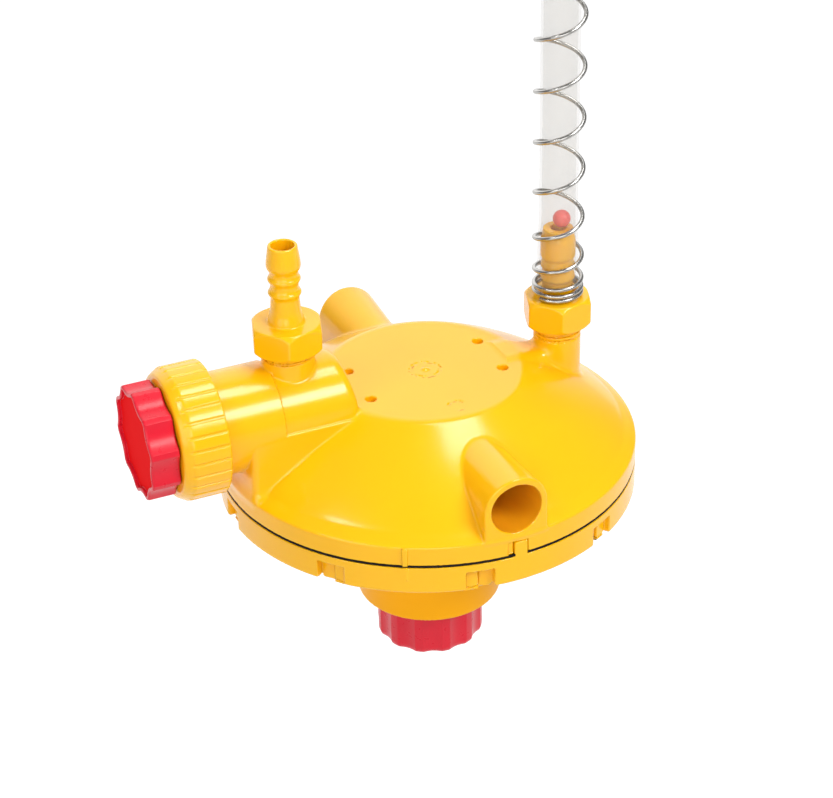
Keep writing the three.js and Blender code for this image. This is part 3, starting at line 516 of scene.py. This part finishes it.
def lower_cover(p):
    """The rim band, the sloping underside with nine ribs, and the neck that the pressure knob runs in."""
    x, y, z = p[:, 0], p[:, 1], p[:, 2]
    r = np.hypot(x, y)
    band = common(common(r - BODY_R, BAND_BOTTOM_Z - z, 0.8), 66.5 - r, 0.5)
    tilt = 0.297
    under = (BAND_BOTTOM_Z + 1 - tilt * (66 - r) - z) / math.hypot(1, tilt)
    body = join(common(under, r - 67), band, 0.6)
    neck = common(r - NECK_R, NECK_BOTTOM_Z - z, 0.8)
    body = join(body, neck, 4.0)
    rib_angle = np.mod(np.degrees(np.arctan2(y, x)) - 20, 40) - 20
    rib_foot = (-27.5 - 0.43 * (68 - r) - z) / 1.09
    rib = common(np.abs(r * np.sin(np.radians(rib_angle))) - 1.1, rib_foot, 0.4)
    body = join(body, common(rib, between(r, 24, 68)), 0.5)
    body = common(body, z - SEAM_Z + SEAM_HALF, 0.3)
    lean = 0.244
    inner = common((-24.4 - lean * (65 - r) - z) / math.hypot(1, lean), r - CHAMBER_R, 0.8)
    well = common(r - NECK_INNER_R, BULKHEAD_TOP_Z - z, 0.6)
    body = cut(body, join(inner, well, 2.0), 0.3)
    skirt = common(r - NECK_INNER_R, z - BULKHEAD_TOP_Z + 4, 0.6)
    body = cut(body, cut(skirt, common(r - 12.5, -62 - z)), 0.4)
    body = cut(body, r - SCREW_HOLE_R, 0.2)
    body = cut(body, common(np.abs(r - BEAD_R) - BEAD_HALF, SEAM_Z - 1.5 - z), 0.2)
    out, side = snap_frame(x, y)
    notch_r = np.where(side > 0, HOOK_R, NOTCH_R)
    notch_sides = between(side, -NOTCH_HALF, NOTCH_HALF)
    notch = common(common(notch_sides, notch_r - out), z - SEAM_Z + 3.5)
    back = common(notch_sides, between(out, 68, notch_r))
    back = common(back, between(z, BAND_BOTTOM_Z - 1.6, SEAM_Z - 5))
    slot = common(between(side, 0.1, 4.9), between(out, 70.2, HOOK_R + 0.3))
    slot = common(slot, BAND_BOTTOM_Z - 0.5 - z)
    body = cut(join(cut(body, notch, 0.25), back), slot)
    tongue = block(p, TONGUE_ANGLE, (70.3, BODY_R), (-1.45, 3.3), (SEAM_Z - 3, SEAM_Z + 5.2), 0.25)
    mark = block(p, INDEX_ANGLE, (70, BODY_R + 0.3), INDEX_SIDES, (SEAM_Z - 5.5, SEAM_Z - 0.4), 0.3)
    return join(join(body, tongue), mark)


# ---------------------------------------------------------------- fittings, nut and knobs


def hexagon(x, y, z, across_r, low, high):
    """A hexagonal prism with its corners turned down at both ends."""
    half = across_r * math.cos(math.pi / 6)
    sides = [
        np.abs(x * math.cos(a) + y * math.sin(a)) - half
        for a in (math.radians(HEX_TURN + 30 + 60 * k) for k in range(3))
    ]
    prism = common(common(sides[0], sides[1], 0.5), sides[2], 0.5)
    r = np.hypot(x, y)
    turned_down = (np.abs(z - (low + high) / 2) - (high - low) / 2 + (r - half - 0.1) * 1.1) / 1.49
    return common(common(prism, between(z, low, high), 0.4), turned_down, 0.4)


def barbed(r, z, profile, low, high):
    """A turned shape whose radius follows a profile of [radius, height]."""
    table = np.array(rounded(profile, 1.2))
    return common((r - np.interp(z, table[:, 1], table[:, 0])) * 0.9, between(z, low, high), 0.5)


TAIL_PROFILE = [
    [6.5, 44], [6.4, 47], [5.25, 51], [4.9, 55.9], [5.1, 56.6], [5.9, 57.8], [4.9, 59.3], [4.85, 61.4],
    [5.9, 62.9], [4.95, 64.4], [4.95, 65.8], [5.95, 67.4], [5.9, 69.2], [5, 75.4],
]
FITTING_PROFILE = [
    [5.4, 30], [5.4, 39.2], [6.2, 40.2], [5.5, 43.2], [5.5, 43.9], [6.2, 44.8], [5.5, 47.6], [6.2, 48.6],
    [6.2, 55.2], [5.6, 57.2], [5.4, fitting_high[2]],
]


def hose_tail(p):
    x, y, z = p[:, 0] - TAIL_X, p[:, 1], p[:, 2]
    r = np.hypot(x, y)
    body = join(hexagon(x, y, z, TAIL_HEX_R, 36.5, 46.5), barbed(r, z, TAIL_PROFILE, 44, 75.4), 0.7)
    body = cut(body, common(r - 9.5, z - 43.2))
    return cut(body, r - TAIL_BORE_R, 0.5)


def tube_fitting(p):
    x, y, z = p[:, 0] - TUBE_X, p[:, 1], p[:, 2]
    r = np.hypot(x, y)
    barbs = barbed(r, z, FITTING_PROFILE, 30, fitting_high[2])
    body = join(hexagon(x, y, z, TUBE_HEX_R, 22, 32.9), barbs, 0.5)
    body = cut(body, common(r - 8.1, z - 28.9))
    return cut(body, r - TUBE_MOUTH_R, 0.5)


def union_nut(p):
    """A nut with a chamfered front and shallow grooves between its lands."""
    x, y, z = p[:, 0], p[:, 1], p[:, 2] - INLET_Z
    r = np.hypot(y, z)
    pitch = 2 * math.pi / NUT_RIBS
    angle = np.arctan2(z, -y) - math.radians(0.5)
    across = (np.mod(angle / pitch + 0.5, 1) - 0.5) * pitch * NUT_R
    body = common(r - NUT_R + NUT_GROOVE, between(x, nut_low[0], nut_high[0]), 0.8)
    chamfer = ((r - NUT_R + 2.2) * 2.6 - (x - nut_low[0]) * 1.7) / 3.11
    body = common(body, chamfer, 0.8)
    land = common(common(r - NUT_R, 0.4 - np.abs(across), 0.5), chamfer + 0.1, 0.4)
    land = common(land, between(x, nut_low[0] + 1.2, nut_high[0] - 0.3), 0.8)
    body = join(body, land, 0.25)
    lip_x = nut_low[0] + 4.9
    body = cut(body, common(r - 15.5, x - lip_x), 0.5)
    return cut(body, common(r - 18.5, lip_x - x), 0.3)


def lobes(angle, count, radius, depth, crest):
    """Radius of a grip with a hollow between each pair of crests. crest is a crest's share of the pitch."""
    share = np.mod(angle / (2 * math.pi) * count, 1)
    hollow = np.clip((share - crest / 2) / (1 - crest), 0, 1)
    return radius - depth * 4 * hollow * (1 - hollow)


def flush_knob(p):
    x, y, z = p[:, 0], p[:, 1], p[:, 2] - INLET_Z
    r = np.hypot(y, z)
    grip_r = lobes(np.arctan2(z, -y) - math.radians(12.6), FLUSH_LOBES, FLUSH_R, 1.8, 0.16)
    body = common(r - grip_r, between(x, flush_low[0], flush_high[0]), 0.9)
    recess = common(r - grip_r + 1.5, x - flush_low[0] - 1.4)
    body = cut(body, recess, 0.5)
    return cut(body, common(r - 3.3, flush_low[0] + 3.8 - x))


def adjusting_knob(p):
    x, y, z = p[:, 0], p[:, 1], p[:, 2]
    r = np.hypot(x, y)
    grip_r = lobes(np.arctan2(y, x) - math.radians(24), KNOB_LOBES, KNOB_R, 0.95, 0.3)
    body = common(r - grip_r, knob_low[2] - z, 3.2)
    body = common(body, z - knob_high[2], 0.6)
    return cut(body, common(r - 4.3, knob_high[2] - 9.3 - z))


def float_ball(p):
    """A ball with a fine parting line round its middle."""
    centre = (ball_low + ball_high) / 2
    away = np.linalg.norm(p - centre, axis=-1)
    parting = 0.06 * np.exp(-((p[:, 2] - centre[2]) / 0.15) ** 2)
    return away - (ball_high[0] - ball_low[0]) / 2 - parting


# ---------------------------------------------------------------- materials


def tone(red, green, blue):
    return (red, green, blue, 1.0)


def surface(
    name, colour, shade, rough, grain, grain_size, specular=0.5, subsurface=0.0, metallic=0.0, alpha=1.0,
):
    """A surface whose colour drifts to shade in soft patches. grain is the depth of its bumps in mm."""
    material = bpy.data.materials.new(name)
    material.use_nodes = True
    nodes, links = material.node_tree.nodes, material.node_tree.links
    shader = nodes["Principled BSDF"]
    position = nodes.new("ShaderNodeTexCoord")
    patches = nodes.new("ShaderNodeTexNoise")
    patches.inputs["Scale"].default_value = 45
    patches.inputs["Detail"].default_value = 3
    links.new(position.outputs["Object"], patches.inputs["Vector"])
    drift = nodes.new("ShaderNodeMapRange")
    drift.inputs["From Min"].default_value = 0.4
    drift.inputs["From Max"].default_value = 0.75
    drift.inputs["To Max"].default_value = 0.35
    links.new(patches.outputs["Fac"], drift.inputs["Value"])
    mix = nodes.new("ShaderNodeMix")
    mix.data_type = "RGBA"
    mix.inputs["A"].default_value = colour
    mix.inputs["B"].default_value = shade
    links.new(drift.outputs["Result"], mix.inputs["Factor"])
    links.new(mix.outputs["Result"], shader.inputs["Base Color"])
    fine = nodes.new("ShaderNodeTexNoise")
    fine.inputs["Scale"].default_value = 1 / (grain_size * MM)
    fine.inputs["Detail"].default_value = 4
    links.new(position.outputs["Object"], fine.inputs["Vector"])
    gloss = nodes.new("ShaderNodeMapRange")
    gloss.inputs["To Min"].default_value = rough - 0.04
    gloss.inputs["To Max"].default_value = rough + 0.05
    links.new(fine.outputs["Fac"], gloss.inputs["Value"])
    links.new(gloss.outputs["Result"], shader.inputs["Roughness"])
    bump = nodes.new("ShaderNodeBump")
    bump.inputs["Strength"].default_value = 1.0
    bump.inputs["Distance"].default_value = grain * MM
    links.new(fine.outputs["Fac"], bump.inputs["Height"])
    links.new(bump.outputs["Normal"], shader.inputs["Normal"])
    shader.inputs["Specular IOR Level"].default_value = specular
    shader.inputs["Metallic"].default_value = metallic
    shader.inputs["Alpha"].default_value = alpha
    shader.inputs["Subsurface Weight"].default_value = subsurface
    shader.inputs["Subsurface Radius"].default_value = (1.0, 0.5, 0.1)
    shader.inputs["Subsurface Scale"].default_value = 2.5 * MM
    return material


# Painted shade for the neck under the body: a deeper orange with a weak reflection.
yellow_neck_shaded = surface(
    "yellow_neck_painted_shade", tone(0.97, 0.44, 0.003), tone(0.95, 0.41, 0.002), 0.35, 0.003, 2.5, specular=0.12,
)
# Painted shade for the inside of the outlet bores.
yellow_bore_shaded = surface(
    "yellow_bore_painted_shade", tone(0.88, 0.38, 0.006), tone(0.86, 0.35, 0.006), 0.35, 0.003, 2.5,
)
yellow = surface(
    "yellow_moulding", tone(0.945, 0.492, 0.003), tone(0.925, 0.457, 0.002), 0.18, 0.003, 2.5,
    subsurface=0.08,
)
red = surface(
    "red_moulding", tone(0.69, 0.009, 0.028), tone(0.64, 0.008, 0.023), 0.28, 0.001, 3, specular=0.4,
)
red_matt = surface(
    "red_matt_face", tone(0.9, 0.007, 0.009), tone(0.85, 0.006, 0.008), 0.7, 0.004, 0.8, specular=0.02,
)
ball_red = surface("ball_moulding", tone(0.9, 0.13, 0.12), tone(0.86, 0.11, 0.1), 0.35, 0.004, 1.0)
white = surface("white_moulding", tone(0.8, 0.79, 0.74), tone(0.72, 0.7, 0.64), 0.42, 0.004, 1.0)
rubber = surface(
    "black_rubber", tone(0.012, 0.01, 0.008), tone(0.02, 0.017, 0.014), 0.7, 0.02, 0.4, specular=0.1,
)
steel = surface(
    "drawn_steel", tone(0.5, 0.49, 0.47), tone(0.36, 0.35, 0.34), 0.26, 0.004, 0.3, metallic=1.0,
)
milky = surface(
    "milky_tube", tone(0.47, 0.44, 0.385), tone(0.43, 0.4, 0.345), 0.25, 0.01, 2.5, alpha=0.13,
)

# ---------------------------------------------------------------- pieces


def finish_piece(piece, slot, material, *nodes):
    """Gives a piece its material and hides the CAD nodes it stands for. The slot argument is not used."""
    piece.data.materials.clear()
    piece.data.materials.append(material)
    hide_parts(*nodes)


def place(piece, body, slot, material, *nodes):
    """Finishes a piece and says which body it rides on."""
    finish_piece(piece, slot, material, *nodes)
    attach(piece, body)


def plastic_piece(name, field, low, high, step, keep, body, slot, material, node):
    """Moulds a piece from its field, inside the box from low to high, and places it."""
    piece = moulded(name, field, low, high, step, keep)
    place(piece, body, slot, material, node)
    return piece


def second_finish(piece, material, chosen):
    """Gives a second material to the faces that chosen says yes to."""
    piece.data.materials.append(material)
    for face in piece.data.polygons:
        if chosen(face):
            face.material_index = 1


dome_cover = plastic_piece(
    "dome_cover", upper_cover, (-89, -76.5, -31), (76.5, 76.5, 42), 0.66, 0.3,
    "housing", "yellow_plastic", yellow, "upper_cover",
)
base_cover = plastic_piece(
    "base_cover", lower_cover, (-76.5, -76.5, -77), (76.5, 76.5, -12), 0.7, 0.3,
    "housing", "yellow_plastic", yellow, "lower_cover",
)
# The lower cover's neck gets painted shade: a deeper orange with a dull, weak reflection, standing in for the
# shade under the body, unlike the polished band.
second_finish(base_cover, yellow_neck_shaded, lambda face: face.center.xy.length < (NECK_R + 3) * MM)


def in_outlet_bore(face):
    away = math.hypot(face.center.x, face.center.z)
    return away < (OUTLET_BORE_R + 0.1) * MM < abs(face.center.y)


# The outlets' bores get painted shade: a deeper, duller yellow than the polished outside, standing in for the
# shade inside them.
second_finish(dome_cover, yellow_bore_shaded, in_outlet_bore)

plastic_piece(
    "barbed_hose_tail", hose_tail, tail_low - 1, tail_high + 1, 0.35, 0.4,
    "housing", "yellow_plastic", yellow, "hose_tail",
)
plastic_piece(
    "tube_hexagon", tube_fitting, fitting_low - 1, fitting_high + 1, 0.35, 0.4,
    "housing", "yellow_plastic", yellow, "tube_fitting",
)
plastic_piece(
    "ribbed_union_nut", union_nut, nut_low - 1, nut_high + 1, 0.32, 0.5,
    "housing", "yellow_plastic", yellow, "union_nut",
)
flush_grip = plastic_piece(
    "fluted_flush_knob", flush_knob, flush_low - 1.5, flush_high + 1.5, 0.32, 0.45,
    "flush_knob", "red_plastic", red, "flush_knob",
)


def on_sunk_face(face):
    return face.normal.x < -0.9 and abs(face.center.x / MM - flush_low[0] - 1.4) < 0.3


# The flush knob's sunk face has a duller finish than its grip.
second_finish(flush_grip, red_matt, on_sunk_face)

plastic_piece(
    "fluted_pressure_knob", adjusting_knob, knob_low - 1.5, knob_high + 1.5, 0.42, 0.4,
    "adjusting_knob", "red_plastic", red, "adjusting_knob",
)
plastic_piece(
    "sight_ball", float_ball, ball_low - 0.6, ball_high + 0.6, 0.2, 0.5,
    "float_ball", "red_plastic", ball_red, "float_ball",
)

# The soft tube swells over the fitting's barbs.
tube = lathe("milky_sight_tube", rounded([
    [6.45, 46], [6.45, 37.7], [7.35, 37.6], [7.45, 41], [7.35, 46], [7.45, 51], [7.2, 57], [6.92, 63],
    [6.9, 80], [6.9, tube_high[2]], [5.9, tube_high[2]], [5.9, 80], [5.95, 64], [6.25, 58], [6.45, 52],
    [6.45, 46.1],
], 1.5), centre=(TUBE_X, 0), closed=True)
place(tube, "housing", "clear_tube", milky, "sight_tube")

# The tube's spring has close turns at its foot and one at its head.
STEPS_PER_TURN = 36
turns = np.linspace(0, COIL_TURNS, round(COIL_TURNS * STEPS_PER_TURN) + 1)
opening = ease(turns, 1.2, 5.0) * (1 - ease(turns, COIL_TURNS - 2.4, COIL_TURNS - 1))
pitch = COIL_CLOSE_PITCH + (COIL_PITCH - COIL_CLOSE_PITCH) * opening
heights = np.concatenate([[0], np.cumsum((pitch[1:] + pitch[:-1]) / 2 * np.diff(turns))])
coil_height = coil_high[2] - coil_low[2] - 2 * COIL_WIRE_R
heights = coil_low[2] + COIL_WIRE_R + heights * coil_height / heights[-1]
coil_angles = np.radians(COIL_START) + turns * 2 * math.pi
coil = wire("sight_tube_spring", np.column_stack([
    TUBE_X + COIL_R * np.cos(coil_angles), COIL_R * np.sin(coil_angles), heights,
]), COIL_WIRE_R)
place(coil, "housing", "steel", steel, "tube_spring")

cap = lathe("breather_plug", rounded([
    [0, cap_low[2]], [5.6, cap_low[2]], [5.6, tube_high[2] + 0.3], [7.2, tube_high[2] + 0.3], [7.2, 296],
    [9.6, 296], [9.6, 297.6], [8.6, 298.4], [8.6, 303.4], [7.2, cap_high[2]], [0, cap_high[2]],
], 0.6), centre=(TUBE_X, 0))
place(cap, "housing", "red_plastic", red, "breather_cap")

bonnet_x = cad_mm("flush_bonnet")[0][0]
bonnet = lathe("flush_bonnet_moulding", rounded([
    [5.3, -84], [5.3, -76], [13.7, -76], [13.7, -78.6], [11.9, -78.6], [11.9, -81.2], [13.7, -81.2],
    [13.7, -88.3], [17.8, -88.3], [17.8, -91.5], [10, -91.5], [10, bonnet_x], [5.3, bonnet_x], [5.3, -84.1],
], 0.4), along="x", centre=(0, INLET_Z), closed=True)
place(bonnet, "housing", "yellow_plastic", yellow, "flush_bonnet")

spindle = lathe("flush_spindle_turned", rounded([
    [0, spindle_low[0]], [3, spindle_low[0]], [3, -96.9], [5, -96.8], [5, -86.2], [4.1, -86.2], [4.1, -84.2],
    [5, -84.2], [5, spindle_high[0]], [2.4, spindle_high[0]], [2.4, -74], [0, -74],
], 0.3), along="x", centre=(0, INLET_Z))
place(spindle, "flush_knob", "white_plastic", white, "flush_spindle")

screw_thread = []
for index in range(14):
    base = knob_high[2] + 1.2 + index * 1.7
    screw_thread += [[8.0, base], [8.65, base + 0.6], [8.65, base + 0.9], [8.0, base + 1.5]]
screw = lathe("pressure_screw_turned", rounded([
    [0, screw_low[2]], [4, screw_low[2]], [4, knob_high[2] + 0.3], [8.0, knob_high[2] + 0.3], *screw_thread,
    [8.0, screw_high[2]], [0, screw_high[2]],
], 0.2, 2))
place(screw, "adjusting_knob", "red_plastic", red, "adjusting_screw")

membrane = lathe("rubber_diaphragm", rounded([
    [3.4, -13], [44, -13], [50, -17.6], [56, -19.2], [64, -18.2], [67.3, -18.2], [67.3, -17.2], [69.7, -17.2],
    [69.7, -17.95], [74.75, -17.95], [74.75, -18.85], [69.7, -18.85], [69.7, -19.6], [67.3, -19.6],
    [67.3, -18.6], [64, -18.6], [56, -21], [49, -19.6], [43, -15], [3.4, -15],
], 0.8), segments=180, closed=True)
place(membrane, "housing", "rubber", rubber, "diaphragm")
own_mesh(membrane)

# The pressure spring is made in two halves, one from its foot to half its height and one from there to its
# head.
spring_foot = spring_low[2] + SPRING_WIRE_R
spring_head = spring_high[2] - SPRING_WIRE_R


def half_spring(name, first, last):
    """The stretch of the pressure spring between two shares of its height."""
    share = np.linspace(first, last, 100)
    angle = share * SPRING_TURNS * 2 * math.pi
    height = spring_foot + (spring_head - spring_foot) * share
    route = np.column_stack([SPRING_R * np.cos(angle), SPRING_R * np.sin(angle), height])
    half = wire(name, route, SPRING_WIRE_R)
    finish_piece(half, "steel", steel, "adjusting_spring")
    return half


foot_half = half_spring("pressure_spring_foot", 0, 0.5)
head_half = half_spring("pressure_spring_head", 0.5, 1)
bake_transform(foot_half)
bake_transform(head_half)

# The hidden parts keep their CAD shapes and take a finished material.
FINISHES = {
    "white_plastic": white, "steel": steel, "rubber": rubber, "yellow_plastic": yellow, "red_plastic": red,
}
slots = {part["node"]: part["material_slot"] for part in frame["record"]["subparts"]}
for node, part in frame["nodes"].items():
    if not part.hide_render:
        part.data.materials.clear()
        part.data.materials.append(FINISHES[slots[node]])

# ---------------------------------------------------------------- floor, light and camera


def gradient(tree, coordinate, direction, start, end, dim, bright):
    """A brightness that runs from dim to bright as the position along direction goes from start to end."""
    position = tree.nodes.new("ShaderNodeTexCoord")
    depth = tree.nodes.new("ShaderNodeVectorMath")
    depth.operation = "DOT_PRODUCT"
    depth.inputs[1].default_value = direction
    glow = tree.nodes.new("ShaderNodeMapRange")
    glow.interpolation_type = "SMOOTHSTEP"
    glow.inputs["From Min"].default_value = start
    glow.inputs["From Max"].default_value = end
    glow.inputs["To Min"].default_value = dim
    glow.inputs["To Max"].default_value = bright
    tree.links.new(position.outputs[coordinate], depth.inputs[0])
    tree.links.new(depth.outputs["Value"], glow.inputs["Value"])
    return glow.outputs["Result"]


# The floor glows: its emission is painted light, dimmer in front of the object and brighter away from the
# camera, where it stands as the backdrop.
FLOOR_Z = -0.4
FLOOR_HALF = 6.0
floor = add_mesh("floor", np.array([
    (-FLOOR_HALF, -FLOOR_HALF, FLOOR_Z), (FLOOR_HALF, -FLOOR_HALF, FLOOR_Z),
    (FLOOR_HALF, FLOOR_HALF, FLOOR_Z), (-FLOOR_HALF, FLOOR_HALF, FLOOR_Z),
]) / MM, [(0, 1, 2, 3)])
floor_glow_material = bpy.data.materials.new("glowing_white_floor")
floor_glow_material.use_nodes = True
floor_glow_shader = floor_glow_material.node_tree.nodes["Principled BSDF"]
floor_glow_shader.inputs["Base Color"].default_value = tone(0.3, 0.3, 0.3)
floor_glow_shader.inputs["Roughness"].default_value = 0.9
floor_glow_shader.inputs["Emission Color"].default_value = tone(1, 1, 1)
painted_floor_glow = gradient(floor_glow_material.node_tree, "Object", (0.394, 0.919, 0), -0.4, 0.25, 0.42, 0.86)
floor_glow_material.node_tree.links.new(painted_floor_glow, floor_glow_shader.inputs["Emission Strength"])
floor.data.materials.append(floor_glow_material)


def towards(azimuth, elevation):
    """Unit vector at an azimuth from +X and an elevation, in degrees."""
    a, e = math.radians(azimuth), math.radians(elevation)
    return Vector((math.cos(a) * math.cos(e), math.sin(a) * math.cos(e), math.sin(e)))


def softbox(name, azimuth, elevation, distance, wide, tall, radiance):
    """An area light that looks at the object. radiance is what a mirror would show of it."""
    light = bpy.data.lights.new(name, "AREA")
    light.shape = "RECTANGLE"
    light.size, light.size_y = wide, tall
    light.energy = radiance * math.pi * wide * tall
    box = bpy.data.objects.new(name, light)
    direction = towards(azimuth, elevation)
    box.location = direction * distance
    box.rotation_mode = "QUATERNION"
    box.rotation_quaternion = direction.to_track_quat("Z", "Y")
    bpy.context.scene.collection.objects.link(box)


# Name, azimuth, elevation, distance, width, height and radiance of each light.
SOFTBOXES = [
    ("front_right_box", -62, 42, 1.2, 0.55, 0.38, 14.0),
    ("overhead_box", 8, 75, 1.2, 0.4, 0.4, 10.5),
    ("left_strip", -168, 50, 1.3, 0.42, 0.09, 16.0),
    ("left_fill", -150, 16, 1.6, 0.9, 0.9, 2.0),
    ("camera_fill", -113, 18, 1.8, 1.0, 1.0, 2.9),
]
for box in SOFTBOXES:
    softbox(*box)

world = bpy.data.worlds.new("studio")
world.use_nodes = True
bpy.context.scene.world = world
background = world.node_tree.nodes["Background"]
background.inputs["Color"].default_value = tone(1, 1, 1)
sky_glow = gradient(world.node_tree, "Generated", towards(82, 18), 0.62, 0.92, 0.2, 1.5)
world.node_tree.links.new(sky_glow, background.inputs["Strength"])

bpy.context.scene.view_settings.view_transform = "Standard"

# The camera aims at the joint line's centre, moved aside and up by the last two distances, in metres.
CAMERA_AZIMUTH = math.radians(-23.20)
CAMERA_ELEVATION = math.radians(30.73)
CAMERA_ROLL = math.radians(-1.22)
FOCAL_LENGTH = 104.5
SENSOR_WIDTH = 36
CAMERA_DISTANCE = 0.87088
CAMERA_ASIDE = -0.003706
CAMERA_RAISE = 0.01796

level = Vector((math.cos(CAMERA_AZIMUTH), math.sin(CAMERA_AZIMUTH), 0))
back = Vector((
    math.sin(CAMERA_AZIMUTH) * math.cos(CAMERA_ELEVATION),
    -math.cos(CAMERA_AZIMUTH) * math.cos(CAMERA_ELEVATION),
    math.sin(CAMERA_ELEVATION),
))
upright = back.cross(level)
right = level * math.cos(CAMERA_ROLL) + upright * math.sin(CAMERA_ROLL)
up = upright * math.cos(CAMERA_ROLL) - level * math.sin(CAMERA_ROLL)
camera_data = bpy.data.cameras.new("camera")
camera_data.lens = FOCAL_LENGTH
camera_data.sensor_width = SENSOR_WIDTH
camera = bpy.data.objects.new("camera", camera_data)
seat = Vector((0, 0, SEAM_Z * MM)) + back * CAMERA_DISTANCE + right * CAMERA_ASIDE + up * CAMERA_RAISE
camera.matrix_world = Matrix([[right[i], up[i], back[i], seat[i]] for i in range(3)] + [[0, 0, 0, 1]])
bpy.context.scene.collection.objects.link(camera)
bpy.context.scene.camera = camera
